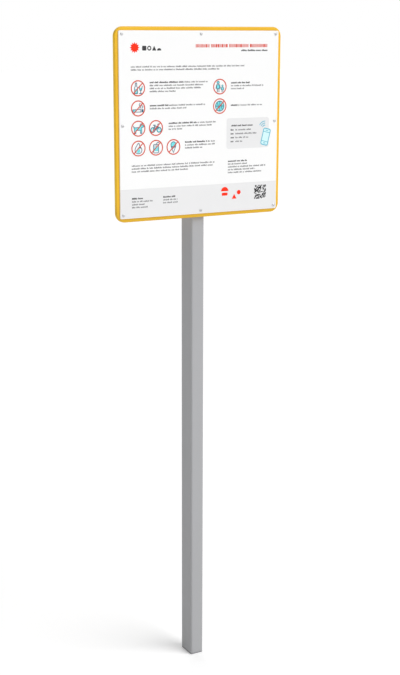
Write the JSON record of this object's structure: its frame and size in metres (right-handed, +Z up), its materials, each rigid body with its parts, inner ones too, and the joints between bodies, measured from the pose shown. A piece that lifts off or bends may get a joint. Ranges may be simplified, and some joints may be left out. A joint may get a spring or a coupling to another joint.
{
  "type": "playground sign",
  "caption": "Playground rules sign: a square yellow plastic board with a white printed face plate, bolted to a grey rectangular steel post.",
  "frame": {"origin": "centre of the post's foot, on the flat underside of its plug", "axes": "+Z up along the post, -Y out of the sign's face towards the reader, +X to the reader's right"},
  "size_m": [0.5, 0.0955, 1.79],
  "materials": {
    "post_coating": "satin grey powder coat",
    "grey_plastic": "moulded, fine grain",
    "yellow_board": "solid-coloured sheet, milled edges",
    "white_plate": "satin white",
    "printed_film": "smooth satin film",
    "stainless_screw": "stainless",
    "zinc_steel": "zinc plated"
  },
  "bodies": {
    "root": {"post": "post_coating", "top_plug": "grey_plastic", "foot_plug": "grey_plastic", "backing_board": "yellow_board", "face_plate": "white_plate", "printed_film": "printed_film", "face_screws": "stainless_screw", "fixing_bolts": "zinc_steel", "front_washers": "zinc_steel", "spacer_sleeves": "zinc_steel", "rear_washers": "zinc_steel", "lock_nuts": "zinc_steel", "nut_caps": "grey_plastic"}
  },
  "joints": []
}
